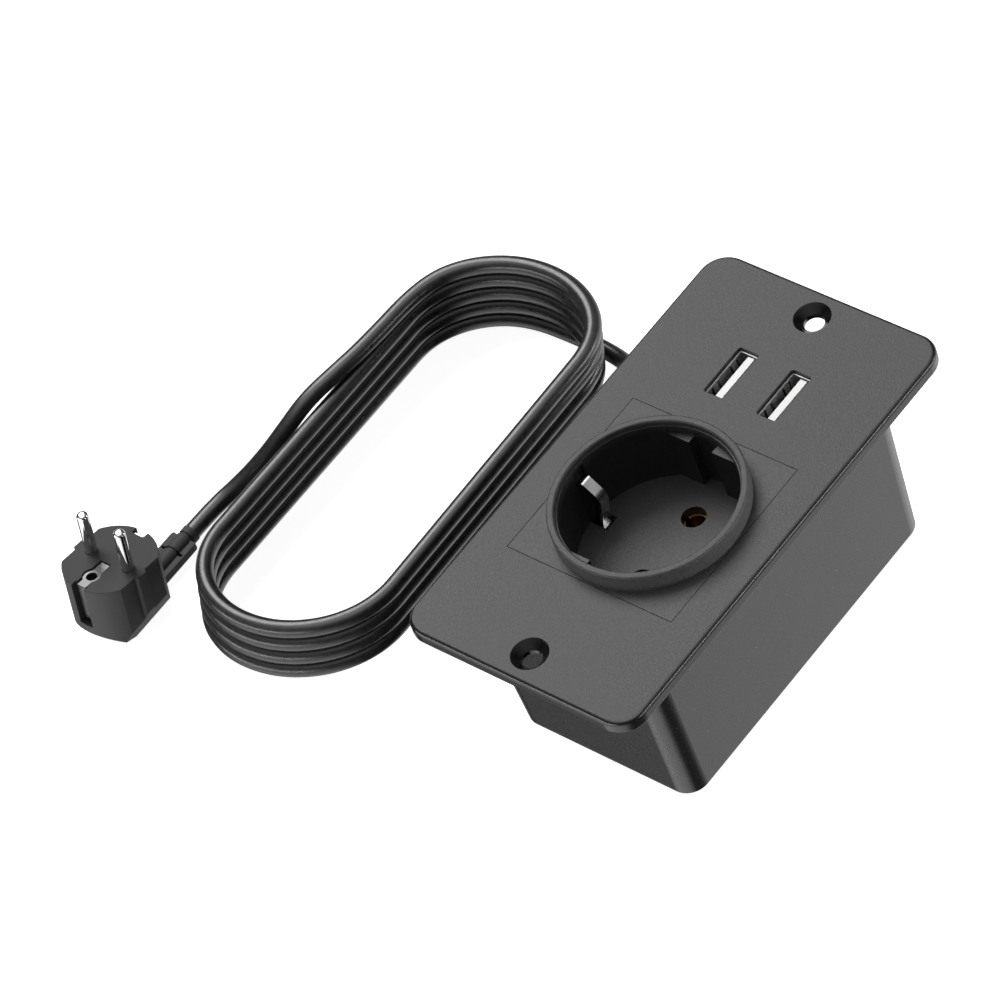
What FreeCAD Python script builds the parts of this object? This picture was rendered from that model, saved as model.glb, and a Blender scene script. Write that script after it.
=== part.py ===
import FreeCAD, Part

import math
import os
import re

import Sketcher
from FreeCAD import Placement, Rotation, Vector

# In-desk power module: a face plate with an earthed socket and two charging
# ports, a housing under it, and a lead that lies coiled beside it with its plug.
# Millimetres. The origin is the middle of the housing's underside, +Z is up,
# +X runs along the plate to the charging ports and +Y to the side of the lead.

SIZES = {
    # clearance round a screw, pin or cord in its hole
    "snug_gap": 0.05,
    # face plate
    "plate_long": 115.2,
    "plate_wide": 63.2,
    "plate_thick": 3.0,
    "plate_corner": 6.4,
    "plate_edge": 1.1,
    "seat_deep": 0.8,
    "screw_inset": 6.9,
    "screw_bore": 4.7,
    "screw_sink": 8.6,
    "lip_thick": 1.0,
    "lip_deep": 2.5,
    "lip_gap": 0.15,
    # rear housing
    "housing_high": 43.35,
    "housing_long": 87.7,
    "housing_room": 0.7,
    "housing_x": -0.6,
    "housing_draft": 1.87,
    "housing_corner": 4.9,
    "housing_wall": 1.6,
    "housing_foot_edge": 0.4,
    # columns that carry the plate and their screws
    "column_left_inset": 7.05,
    "column_right_x": 24.0,
    "column_inset": 5.65,
    "column_radius": 3.2,
    "column_high": 28.0,
    "post_radius": 2.8,
    "fixing_radius": 1.25,
    "fixing_gap": 0.15,
    "fixing_bite": 9.0,
    "fixing_head_radius": 2.4,
    "fixing_head_high": 1.7,
    "fixing_sink_radius": 2.6,
    "fixing_sink_deep": 3.0,
    # socket insert
    "insert_x": -7.6,
    "insert_side": 45.0,
    "insert_gap": 0.1,
    "shoulder_reach": 1.5,
    "shoulder_thick": 2.0,
    "collar_radius": 22.1,
    "collar_bore": 20.3,
    "collar_high": 4.4,
    "collar_step": 1.4,
    "collar_edge": 0.5,
    "cup_bore": 20.0,
    "cup_wall": 1.5,
    "cup_floor": 2.0,
    "cup_deep": 13.8,
    "guide_face": 17.66,
    "guide_near": 3.15,
    "guide_far": 9.9,
    "guide_drop": 3.66,
    "pin_pitch": 19.0,
    "pin_hole": 5.7,
    "latch_long": 8.0,
    "latch_thick": 1.6,
    "latch_deep": 6.4,
    "latch_hook": 1.0,
    "latch_hook_high": 1.4,
    # socket base and its contacts
    "base_long": 36.0,
    "base_high": 13.6,
    "contact_radius": 3.1,
    "contact_bore": 2.4,
    "contact_slit": 1.0,
    "contact_top_gap": 0.4,
    "bar_thick": 0.9,
    "bar_wide": 3.6,
    "bar_deep": 10.4,
    "bar_side": 8.0,
    "bar_end_x": 14.0,
    "contact_gap": 0.3,
    # earth strap
    "strap_wide": 2.6,
    "strap_thick": 0.8,
    "strap_tip_y": 20.45,
    "strap_tip_z": 44.0,
    "strap_top_y": 19.0,
    "strap_top_z": 45.5,
    "strap_knee_y": 14.9,
    "strap_knee_z": 41.8,
    "strap_foot_y": 17.2,
    "strap_foot_z": 32.6,
    "strap_run_z": 29.7,
    "strap_slot_wide": 3.6,
    "strap_slot_near": 15.3,
    "strap_slot_far": 21.05,
    "strap_slot_top": 0.9,
    "tab_wide": 2.8,
    "tab_end_x": 8.0,
    # charging ports
    "port_x": 30.2,
    "port_mid_y": -0.27,
    "port_pitch": 14.42,
    "port_long": 13.4,
    "port_wide": 5.5,
    "port_corner": 0.7,
    "port_gap": 0.1,
    "port_wall": 0.35,
    "port_sunk": 0.9,
    "leaf_pitch": 6.7,
    "leaf_wide": 1.7,
    "leaf_slot": 0.5,
    "leaf_rim": 0.5,
    "leaf_high": 5.6,
    "leaf_lean": 0.5,
    "tongue_long": 12.0,
    "tongue_wide": 1.75,
    "tongue_shift": 0.7,
    "tongue_sunk": 1.2,
    "spring_pitch": 2.75,
    "spring_wide": 1.9,
    "spring_thick": 0.2,
    "spring_lean": 0.4,
    "spring_rise": 1.5,
    "spring_sunk": 2.6,
    "spring_gap": 0.05,
    # charger board
    "board_top": 31.0,
    "board_thick": 1.6,
    "board_near_x": 20.4,
    "board_far_x": 39.6,
    "board_wide": 32.0,
    "peg_radius": 1.5,
    "peg_inset": 1.9,
    "capacitor_radius": 2.6,
    "capacitor_high": 9.0,
    "capacitor_y": 13.1,
    "transformer_x": 32.5,
    "transformer_y": -9.5,
    "transformer_long": 12.0,
    "transformer_wide": 10.0,
    "transformer_high": 8.4,
    "core_wide": 4.6,
    "core_reach": 1.5,
    # where the lead enters
    "entry_x": 35.0,
    "entry_z": 12.0,
    "entry_bore": 2.95,
    "relief_root": 2.8,
    "relief_end": 2.35,
    "relief_flange": 3.2,
    "relief_flange_thick": 1.2,
    "relief_flange_y": 22.6,
    "relief_out_y": 34.5,
    "relief_groove": 0.3,
    "relief_groove_wide": 0.7,
    "relief_groove_pitch": 1.9,
    "relief_groove_first": 3.4,
    "clamp_near_y": 12.6,
    "clamp_far_y": 17.6,
    "clamp_wide": 9.8,
    "clamp_top": 3.3,
    "clamp_split": 0.3,
    "clamp_screw_pitch": 7.2,
    "clamp_screw_radius": 0.9,
    "clamp_head_radius": 1.3,
    "clamp_head_high": 1.2,
    "clamp_screw_deep": 8.0,
    "sheath_end_y": 11.0,
    "wire_radius": 0.6,
    "wire_gap": 0.3,
    "wire_spread": 1.15,
    "wire_fan": 2.0,
    "wire_turn": 4.0,
    "wire_straight": 8.0,
    # cord
    "cord_radius": 2.06,
    "hank_west_x": -34.5,
    "hank_east_x": 26.0,
    "hank_y": 85.7,
    "hank_radius": 23.9,
    "hank_high": 16.8,
    "strand_z": 18.9,
    # plug
    "plug_x": -60.3,
    "plug_y": 125.2,
    "plug_high": 17.9,
    "plug_lean": 10.0,
    "plug_radius": 11.0,
    "plug_flat": 9.12,
    "plug_tooth": 9.95,
    "plug_tooth_wide": 2.5,
    "plug_bevel_z": 7.3,
    "plug_bevel_y": 5.9,
    "plug_nose_x": 6.0,
    "plug_nose_z": 6.7,
    "plug_nose_reach": 13.2,
    "groove_wide": 3.8,
    "groove_deep": 1.9,
    "groove_high": 11.3,
    "notch_wide": 3.5,
    "notch_deep": 1.75,
    "neck_z": 2.3,
    "neck_radius": 2.25,
    "neck_end": 22.1,
    "wing_half": 3.6,
    "wing_thick": 1.9,
    "wing_end": 20.2,
    "ring_deep": 0.35,
    "ring_wide": 0.7,
    "ring_first": 15.6,
    "ring_second": 20.4,
    "plug_pin_radius": 1.43,
    "plug_pin_long": 11.3,
    "plug_pin_half": 5.66,
    "plug_pin_root": 8.0,
    "earth_wide": 2.86,
    "earth_start": 9.5,
    "earth_end": 1.4,
    "earth_hole_x": 6.1,
    "earth_hole": 1.3,
    "earth_eyelet": 2.1,
    "earth_hole_deep": 9.0,
    "earth_thick": 0.5,
    "earth_sunk": 0.35,
    "earth_gap": 0.1,
    "earth_leg": 8.8,
    "earth_leg_wide": 2.4,
}

doc = FreeCAD.newDocument("power_module")
sheet = doc.addObject("Spreadsheet::Sheet", "Sizes")
for row, (alias, number) in enumerate(SIZES.items(), 1):
    sheet.set(f"A{row}", alias)
    sheet.set(f"B{row}", str(number))
    sheet.setAlias(f"B{row}", alias)
doc.recompute()

parts = {}


def size(alias):
    """A size read back from the sheet."""
    return float(getattr(sheet, alias))


def cells(text):
    """An expression with each size in it written as its cell of the sheet."""
    return re.sub(r"[a-z]+_[a-z_]+", lambda word: "Sizes." + word[0], str(text))


def bind(item, **expressions):
    """Ties properties to expressions; two underscores stand for a dot."""
    for name, text in expressions.items():
        item.setExpression(name.replace("__", "."), cells(text))


def keep(name, item):
    """Labels a finished sub-part and puts it on the list of those written out."""
    item.Label = name
    parts[name] = item
    return item


# Heights and places that several sub-parts share, as expressions
HOUSING_WIDE = "(insert_side + 2 * (housing_room + lip_thick + lip_gap + housing_wall))"
HOUSING_TOP = "(housing_high + seat_deep)"
PLATE_TOP = "(housing_high + plate_thick)"
CUP_TOP = "(housing_high + plate_thick - cup_deep)"
CUP_BOTTOM = "(housing_high + plate_thick - cup_deep - cup_floor)"
BASE_WIDE = "(2 * (strap_slot_near - contact_gap))"
BASE_BOTTOM = "(housing_high + plate_thick - cup_deep - cup_floor - base_high)"
RIM_TOP = "(housing_high + plate_thick + collar_high)"
BAR_BOTTOM = "(housing_high + plate_thick - cup_deep - cup_floor - bar_deep)"
COLUMN_Y = f"({HOUSING_WIDE} / 2 - column_inset)"
COLUMN_LEFT = "(housing_x - housing_long / 2 + column_left_inset)"
COLUMNS = [(x, side) for x in (COLUMN_LEFT, "column_right_x") for side in ("", "-")]

# Share of the shorter run beside it that a bend in a strip takes
STRIP_BEND = 0.3


# Part Design helpers

def new_body(name):
    return doc.addObject("PartDesign::Body", name)


def new_sketch(body, plane, height="0", lean="0"):
    """An empty sketch on one of the body's own planes, lifted off it by a height
    and leaned about the sketch's own upright axis by an angle."""
    sketch = body.newObject("Sketcher::SketchObject", "sketch")
    origin_plane = next(item for item in body.Origin.OriginFeatures if item.Role == plane)
    sketch.AttachmentSupport = [(origin_plane, "")]
    sketch.MapMode = "FlatFace"
    if lean != "0":
        sketch.AttachmentOffset = Placement(Vector(), Rotation(Vector(0, 1, 0), size(lean)))
    bind(sketch, AttachmentOffset__Base__z=f"{height} + 0.0")
    return sketch


def pin_point(sketch, geometry, end, across, up):
    """Holds a point of the sketch at two distances from the sketch's origin."""
    for kind, text in (("DistanceX", across), ("DistanceY", up)):
        index = sketch.addConstraint(Sketcher.Constraint(kind, -1, 1, geometry, end, 1.0))
        sketch.setExpression(f"Constraints[{index}]", cells(f"{text} + 0.0"))


def draw_polygon(sketch, corners):
    """A closed outline of straight lines through corners given as expressions."""
    count = len(corners)
    ring = [Vector(math.cos(2 * math.pi * i / count), math.sin(2 * math.pi * i / count), 0) for i in range(count)]
    first = sketch.GeometryCount
    for i in range(count):
        sketch.addGeometry(Part.LineSegment(ring[i], ring[(i + 1) % count]), False)
    for i in range(count):
        following = first + (i + 1) % count
        sketch.addConstraint(Sketcher.Constraint("Coincident", first + i, 2, following, 1))
        pin_point(sketch, first + i, 1, *corners[i])


def draw_rectangle(sketch, middle_x, middle_y, wide, tall):
    left, right = f"({middle_x}) - ({wide}) / 2", f"({middle_x}) + ({wide}) / 2"
    low, high = f"({middle_y}) - ({tall}) / 2", f"({middle_y}) + ({tall}) / 2"
    draw_polygon(sketch, [(left, low), (right, low), (right, high), (left, high)])


def draw_circle(sketch, middle_x, middle_y, radius):
    geometry = sketch.addGeometry(Part.Circle(Vector(0, 0, 0), Vector(0, 0, 1), 1.0), False)
    pin_point(sketch, geometry, 3, middle_x, middle_y)
    index = sketch.addConstraint(Sketcher.Constraint("Radius", geometry, 1.0))
    sketch.setExpression(f"Constraints[{index}]", cells(radius))


def pad(body, sketch, length, down=False, taper=None, both_ways=False):
    feature = body.newObject("PartDesign::Pad", "pad")
    feature.Profile = sketch
    feature.Reversed = down
    feature.Midplane = both_ways
    bind(feature, Length=length)
    if taper:
        bind(feature, TaperAngle=taper)
    doc.recompute()
    return feature


def pocket(body, sketch, length, up=False, taper=None, both_ways=False):
    """A cut below the sketch, or above it; it has to take some material away."""
    before = body.Shape.Volume
    feature = body.newObject("PartDesign::Pocket", "pocket")
    feature.Profile = sketch
    feature.Reversed = up
    feature.Midplane = both_ways
    bind(feature, Length=length)
    if taper:
        bind(feature, TaperAngle=taper)
    doc.recompute()
    if body.Shape.Volume > before - 1e-6:
        raise RuntimeError(f"a pocket of {body.Label} cuts nothing")
    return feature


def turn(body, sketch, kind="PartDesign::Revolution"):
    """A full turn of the sketch about its own upright axis."""
    feature = body.newObject(kind, "turned")
    feature.Profile = sketch
    feature.ReferenceAxis = (sketch, ["V_Axis"])
    feature.Angle = 360
    doc.recompute()
    return feature


def dress(body, kind, wanted, **expressions):
    """A fillet or chamfer on each edge of the body that the test picks."""
    base = body.Tip
    names = [f"Edge{i}" for i, edge in enumerate(base.Shape.Edges, 1) if wanted(edge)]
    if not names:
        raise RuntimeError(f"no edge to dress on {body.Label}")
    feature = body.newObject(kind, "dressed")
    feature.Base = (base, names)
    bind(feature, **expressions)
    doc.recompute()
    return feature


def is_upright(edge, lean=0.06):
    """A straight edge that stands within a small lean of the vertical."""
    run = edge.Vertexes[-1].Point - edge.Vertexes[0].Point
    return math.hypot(run.x, run.y) < lean * abs(run.z) and edge.Length < 1.0001 * run.Length


def lies_at(edge, height):
    return all(abs(corner.Z - height) < 1e-4 for corner in edge.Vertexes)


# Helpers for primitives

def box(x, y, z, dx, dy, dz):
    item = doc.addObject("Part::Box", "box")
    bind(item, Length=dx, Width=dy, Height=dz)
    bind(item, Placement__Base__x=x, Placement__Base__y=y, Placement__Base__z=z)
    return item


def cylinder(x, y, z, radius, height, axis=Vector(0, 0, 1)):
    item = doc.addObject("Part::Cylinder", "cylinder")
    bind(item, Radius=radius, Height=height)
    item.Placement.Rotation = Rotation(Vector(0, 0, 1), axis)
    bind(item, Placement__Base__x=x, Placement__Base__y=y, Placement__Base__z=z)
    return item


def fuse(items):
    item = doc.addObject("Part::MultiFuse", "joined")
    item.Shapes = items
    item.Refine = True
    return item


def cut(base, tools):
    item = doc.addObject("Part::Cut", "cut")
    item.Base = base
    item.Tool = tools[0] if len(tools) == 1 else fuse(tools)
    return item


# Helpers for bent strips, wires and cords

def rounded_path(points, share=0.45):
    """Straight runs with tangent arcs, each of which takes a share of the shorter
    run beside it. Returns the wire and the radii."""
    edges = []
    radii = []
    start = points[0]
    for before, corner, after in zip(points, points[1:], points[2:]):
        incoming = (corner - before)
        outgoing = (after - corner)
        shorter = min(incoming.Length, outgoing.Length)
        half_turn = incoming.getAngle(outgoing) / 2
        bend = share * shorter / math.tan(half_turn)
        setback = bend * math.tan(half_turn)
        enter = corner - incoming.normalize() * setback
        leave = corner + outgoing.normalize() * setback
        toward = (enter + leave) * 0.5 - corner
        middle = corner + toward.normalize() * (bend / math.cos(half_turn) - bend)
        edges.append(Part.LineSegment(start, enter).toShape())
        edges.append(Part.Arc(enter, middle, leave).toShape())
        start = leave
        radii.append(bend)
    edges.append(Part.LineSegment(start, points[-1]).toShape())
    return Part.Wire(edges), radii


def tube(name, points, radius):
    """A round cord or wire along a rounded path."""
    path, radii = rounded_path([Vector(*point) for point in points])
    heading = path.Edges[0].tangentAt(path.Edges[0].FirstParameter)
    section = Part.Wire(Part.Circle(path.Edges[0].Vertexes[0].Point, heading, radius).toShape())
    item = doc.addObject("Part::Feature", name)
    item.Shape = path.makePipeShell([section], True, False)
    expected = math.pi * radius * radius * path.Length
    listed = ", ".join(f"{bend:.1f}" for bend in radii)
    print(f"{name}: length {path.Length:.1f}, bend radii {listed},"
          f" volume over section x length {item.Shape.Volume / expected:.4f}")
    return keep(name, item)


def bent_strip(name, points, wide, thick):
    """Sheet metal bent along points in the YZ plane, centred on X = 0."""
    path, _ = rounded_path([Vector(0, y, z) for y, z in points], STRIP_BEND)
    heading = path.Edges[0].tangentAt(path.Edges[0].FirstParameter)
    across = heading.cross(Vector(1, 0, 0)) * (thick / 2)
    side = Vector(wide / 2, 0, 0)
    start = path.Edges[0].Vertexes[0].Point
    ring = [start - side - across, start + side - across, start + side + across, start - side + across]
    section = Part.makePolygon(ring + ring[:1])
    item = doc.addObject("Part::Feature", name)
    item.Shape = path.makePipeShell([section], True, False)
    return item


# Sub-parts

def face_plate():
    body = new_body("face_plate")
    outline = new_sketch(body, "XY_Plane", "housing_high")
    draw_rectangle(outline, "0", "0", "plate_long", "plate_wide")
    pad(body, outline, "plate_thick")
    dress(body, "PartDesign::Fillet", is_upright, Radius="plate_corner")
    top = size("housing_high") + size("plate_thick")
    dress(body, "PartDesign::Fillet", lambda edge: lies_at(edge, top), Radius="plate_edge")

    seat = new_sketch(body, "XY_Plane", "housing_high")
    draw_rectangle(seat, "housing_x", "0", "housing_long + 2 * snug_gap", f"{HOUSING_WIDE} + 2 * snug_gap")
    pocket(body, seat, "seat_deep", up=True)
    seat_top = size("housing_high") + size("seat_deep")

    def is_seat_corner(edge):
        return is_upright(edge) and abs(edge.CenterOfMass.z - (seat_top - size("seat_deep") / 2)) < 1e-3

    dress(body, "PartDesign::Fillet", is_seat_corner, Radius="housing_corner + snug_gap")
    lip = new_sketch(body, "XY_Plane", HOUSING_TOP)
    for inset in ("2 * (housing_wall + lip_gap)", "2 * (housing_wall + lip_gap + lip_thick)"):
        draw_rectangle(lip, "housing_x", "0", f"housing_long - {inset}", f"{HOUSING_WIDE} - {inset}")
    pad(body, lip, "seat_deep + lip_deep", down=True)
    under = size("housing_high")
    reach = size("housing_long") / 2 - size("housing_wall") - size("lip_gap") - 0.5 * size("lip_thick")

    def is_lip_corner(edge):
        place = edge.CenterOfMass
        return is_upright(edge) and place.z < under and abs(place.x - size("housing_x")) > reach

    dress(body, "PartDesign::Fillet", is_lip_corner, Radius="housing_corner - housing_wall - lip_gap")

    posts = new_sketch(body, "XY_Plane", "column_high")
    for x, side in COLUMNS:
        draw_circle(posts, x, f"{side}{COLUMN_Y}", "post_radius")
    pad(body, posts, "housing_high - column_high + 0.5 * plate_thick")
    pegs = new_sketch(body, "XY_Plane", "board_top")
    for x in ("board_near_x + peg_inset", "board_far_x - peg_inset"):
        for side in ("", "-"):
            draw_circle(pegs, x, f"{side}(board_wide / 2 - peg_inset)", "peg_radius")
    pad(body, pegs, "housing_high - board_top + 0.5 * plate_thick")

    opening = new_sketch(body, "XY_Plane", PLATE_TOP)
    draw_rectangle(opening, "insert_x", "0", *["insert_side + 2 * insert_gap"] * 2)
    pocket(body, opening, "plate_thick + lip_deep")
    ports = new_sketch(body, "XY_Plane", PLATE_TOP)
    for side in ("", "-"):
        draw_rectangle(ports, "port_x", f"port_mid_y {side or '+'} port_pitch / 2", "port_long", "port_wide")
    pocket(body, ports, "plate_thick")

    def is_port_corner(edge):
        place = edge.CenterOfMass
        near = abs(place.x - size("port_x")) < size("port_long") / 2 + 0.1
        return is_upright(edge) and place.z > under and near and abs(place.y) < size("port_pitch")

    dress(body, "PartDesign::Fillet", is_port_corner, Radius="port_corner")
    pilots = new_sketch(body, "XY_Plane", "column_high")
    for x, side in COLUMNS:
        draw_circle(pilots, x, f"{side}{COLUMN_Y}", "fixing_radius + snug_gap")
    pocket(body, pilots, "fixing_bite + 1", up=True)

    bores = new_sketch(body, "XY_Plane", PLATE_TOP)
    for side in ("", "-"):
        draw_circle(bores, f"{side}(plate_long / 2 - screw_inset)", "0", "screw_bore / 2")
    pocket(body, bores, "plate_thick")

    def is_bore_mouth(edge):
        across = abs(edge.CenterOfMass.x)
        return lies_at(edge, top) and abs(across - (size("plate_long") / 2 - size("screw_inset"))) < 1e-3

    dress(body, "PartDesign::Chamfer", is_bore_mouth, Size="(screw_sink - screw_bore) / 2")
    keep("face_plate", body)


def rear_housing():
    """A tub with drafted walls, its columns, the cord clamp's block and its holes."""
    body = new_body("rear_housing")
    outline = new_sketch(body, "XY_Plane", HOUSING_TOP)
    draw_rectangle(outline, "housing_x", "0", "housing_long", HOUSING_WIDE)
    block = pad(body, outline, HOUSING_TOP, down=True)
    top = size("housing_high") + size("seat_deep")
    walls = []
    for index, face in enumerate(block.Shape.Faces, 1):
        if abs(face.CenterOfMass.z - top) < 1e-4:
            mouth = f"Face{index}"
        elif face.CenterOfMass.z > 1e-4:
            walls.append(f"Face{index}")
    lean = body.newObject("PartDesign::Draft", "draft")
    lean.Base = (block, walls)
    lean.NeutralPlane = (block, [mouth])
    lean.Reversed = True
    bind(lean, Angle="housing_draft")
    doc.recompute()
    rounded = dress(body, "PartDesign::Fillet", is_upright, Radius="housing_corner")
    mouth = [f"Face{i}" for i, face in enumerate(rounded.Shape.Faces, 1) if abs(face.BoundBox.ZMin - top) < 1e-4]
    shell = body.newObject("PartDesign::Thickness", "shell")
    shell.Base = (rounded, mouth)
    shell.Reversed = True
    bind(shell, Value="housing_wall")
    doc.recompute()
    dress(body, "PartDesign::Fillet", lambda edge: lies_at(edge, 0), Radius="housing_foot_edge")

    columns = new_sketch(body, "XY_Plane", "housing_wall / 2")
    for x, side in COLUMNS:
        draw_circle(columns, x, f"{side}{COLUMN_Y}", "column_radius")
    pad(body, columns, "column_high - housing_wall / 2")
    block = new_sketch(body, "XY_Plane", "housing_wall / 2")
    middle = "(clamp_near_y + clamp_far_y) / 2"
    draw_rectangle(block, "entry_x", middle, "clamp_wide", "clamp_far_y - clamp_near_y")
    pad(body, block, "entry_z - clamp_split / 2 - housing_wall / 2")
    for radius, depth in (("fixing_radius + fixing_gap", "column_high"), ("fixing_sink_radius", "fixing_sink_deep")):
        holes = new_sketch(body, "XY_Plane", "0")
        for x, side in COLUMNS:
            draw_circle(holes, x, f"{side}{COLUMN_Y}", radius)
        pocket(body, holes, depth, up=True)
    cradle = new_sketch(body, "XZ_Plane", "-clamp_far_y")
    draw_circle(cradle, "entry_x", "entry_z", "cord_radius + snug_gap")
    pocket(body, cradle, "clamp_far_y - clamp_near_y", up=True)
    entry = new_sketch(body, "XZ_Plane", f"-{HOUSING_WIDE} / 2")
    draw_circle(entry, "entry_x", "entry_z", "entry_bore")
    pocket(body, entry, "housing_wall * 3", up=True)
    screws = new_sketch(body, "XY_Plane", "entry_z - clamp_split / 2")
    for side in ("-", "+"):
        draw_circle(screws, f"entry_x {side} clamp_screw_pitch / 2", middle, "clamp_screw_radius + snug_gap")
    pocket(body, screws, "clamp_screw_deep")
    keep("rear_housing", body)


def socket_insert():
    """The visible socket: a square block in the plate, a round collar and a cup
    with guide ribs at both ends, pin holes and slots for the earth clips."""
    body = new_body("socket_insert")
    block = new_sketch(body, "XY_Plane", "housing_high")
    draw_rectangle(block, "0", "0", "insert_side", "insert_side")
    pad(body, block, "plate_thick")
    shoulder = new_sketch(body, "XY_Plane", HOUSING_TOP)
    draw_rectangle(shoulder, "0", "0", "insert_side + 2 * shoulder_reach", "insert_side")
    pad(body, shoulder, "shoulder_thick", down=True)
    cup = new_sketch(body, "XY_Plane", CUP_BOTTOM)
    draw_circle(cup, "0", "0", "cup_bore + cup_wall")
    pad(body, cup, "cup_deep + cup_floor")
    collar = new_sketch(body, "XY_Plane", "housing_high")
    draw_circle(collar, "0", "0", "collar_radius")
    pad(body, collar, "plate_thick + collar_high")

    recess = new_sketch(body, "XZ_Plane")
    draw_polygon(recess, [
        ("0", RIM_TOP), ("collar_bore", RIM_TOP), ("collar_bore", f"{RIM_TOP} - collar_step"),
        ("cup_bore", f"{RIM_TOP} - collar_step"), ("cup_bore", CUP_TOP), ("0", CUP_TOP)])
    turn(body, recess, "PartDesign::Groove")
    guides = new_sketch(body, "XY_Plane", f"{CUP_TOP} - cup_floor / 2")
    outer = "cup_bore + cup_wall / 2"
    for end in ("", "-"):
        for side in ("", "-"):
            draw_polygon(guides, [
                (f"{end}guide_face", f"{side}guide_near"), (f"{end}({outer} - guide_near / 4)", f"{side}guide_near"),
                (f"{end}({outer} - guide_far / 4)", f"{side}guide_far"), (f"{end}guide_face", f"{side}guide_far")])
    pad(body, guides, "cup_deep + collar_high - guide_drop + cup_floor / 2")
    pins = new_sketch(body, "XY_Plane", CUP_TOP)
    for side in ("", "-"):
        draw_circle(pins, f"{side}pin_pitch / 2", "0", "pin_hole / 2")
    pocket(body, pins, "cup_floor")
    slots = new_sketch(body, "XY_Plane", CUP_BOTTOM)
    for side in ("", "-"):
        middle = f"{side}(strap_slot_near + strap_slot_far) / 2"
        draw_rectangle(slots, "0", middle, "strap_slot_wide", "strap_slot_far - strap_slot_near")
    pocket(body, slots, "cup_floor + cup_deep - strap_slot_top + plate_thick", up=True)
    arms = new_sketch(body, "XY_Plane", CUP_BOTTOM)
    for side in ("", "-"):
        draw_rectangle(arms, f"{side}(base_long / 2 + contact_gap / 2 + latch_thick / 2)", "0",
                       "latch_thick", "latch_long")
    pad(body, arms, "latch_deep", down=True)
    hooks = new_sketch(body, "XY_Plane", f"{CUP_BOTTOM} - latch_deep")
    for side in ("", "-"):
        draw_rectangle(hooks, f"{side}(base_long / 2 + contact_gap / 2 - latch_hook / 2 + latch_thick / 2)", "0",
                       "latch_hook + latch_thick", "latch_long")
    pad(body, hooks, "latch_hook_high")
    rim = size("housing_high") + size("plate_thick") + size("collar_high")
    dress(body, "PartDesign::Fillet", lambda edge: lies_at(edge, rim), Radius="collar_edge")
    bind(body, Placement__Base__x="insert_x")
    keep("socket_insert", body)


def socket_base():
    """The block under the cup that carries the contacts; bars lie in channels
    that open downward, and the earth strap in one that opens upward."""
    block = box("insert_x - base_long / 2", f"-{BASE_WIDE} / 2", BASE_BOTTOM, "base_long", BASE_WIDE, "base_high")
    wells = [cylinder(f"insert_x {side} pin_pitch / 2", "0", BAR_BOTTOM, "contact_radius + contact_gap", "base_high")
             for side in "+-"]
    strap = box("insert_x - strap_wide / 2 - contact_gap", f"-{BASE_WIDE} / 2", "strap_run_z - strap_thick / 2",
                "strap_wide + 2 * contact_gap", BASE_WIDE, "base_high")
    channels = []
    for sign, side in (("+", ""), ("-", "-")):
        start = f"(insert_x {sign} pin_pitch / 2)"
        width = "(bar_wide + 2 * contact_gap)"
        low = "0" if side == "" else "-bar_side"
        channels.append(box(f"{start} - {width} / 2", low, BASE_BOTTOM, width, "bar_side",
                            "base_high - bar_deep + bar_thick"))
        channels.append(box(f"{start} - {width} / 2", f"{side}bar_side - {width} / 2", BASE_BOTTOM,
                            f"bar_end_x - {start} + {width}", width, "base_high - bar_deep + bar_thick"))
    notches = []
    notch_deep = "(latch_hook + contact_gap)"
    for x in (f"insert_x - base_long / 2", f"insert_x + base_long / 2 - {notch_deep}"):
        notches.append(box(x, "-latch_long / 2 - contact_gap", f"{CUP_BOTTOM} - latch_deep - contact_gap / 3",
                           notch_deep, "latch_long + 2 * contact_gap", "latch_hook_high + contact_gap / 3"))
    keep("socket_base", cut(block, wells + [strap] + channels + notches))


def pin_contact(name, sign, side):
    """A split sleeve under a pin hole and the bar that leads from it to its wire."""
    middle = f"(insert_x {sign} pin_pitch / 2)"
    top = "bar_deep - contact_top_gap"
    sleeve = cylinder(middle, "0", BAR_BOTTOM, "contact_radius", top)
    bore = cylinder(middle, "0", f"{BAR_BOTTOM} + bar_thick", "contact_bore", "bar_deep")
    slit = box(f"{middle} - contact_slit / 2", "-contact_radius", f"{BAR_BOTTOM} + 2 * bar_thick",
               "contact_slit", "2 * contact_radius", "bar_deep")
    low = "0" if side == "" else "-bar_side"
    stem = box(f"{middle} - bar_wide / 2", low, BAR_BOTTOM, "bar_wide", "bar_side", "bar_thick")
    bar = box(f"{middle} - bar_wide / 2", f"{side}bar_side - bar_wide / 2", BAR_BOTTOM,
              f"bar_end_x - {middle} + bar_wide / 2", "bar_wide", "bar_thick")
    keep(name, fuse([cut(sleeve, [bore, slit]), stem, bar]))


def earth_strap():
    """Both earth clips and the run that joins them under the cup, bent from one strip."""
    half = [(size(f"strap_{place}_y"), size(f"strap_{place}_z")) for place in ("tip", "top", "knee", "foot")]
    half.append((size("strap_foot_y") + size("strap_thick") / 2, size("strap_run_z")))
    strip = bent_strip("strap_strip", half + [(-y, z) for y, z in reversed(half)],
                       size("strap_wide"), size("strap_thick"))
    strip.Placement = Placement(Vector(size("insert_x"), 0, 0), Rotation())
    tab = box("insert_x", "strap_foot_y - tab_wide / 2", "strap_run_z - strap_thick / 2",
              "tab_end_x - insert_x", "tab_wide", "strap_thick")
    keep("earth_strap", fuse([strip, tab]))


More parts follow.
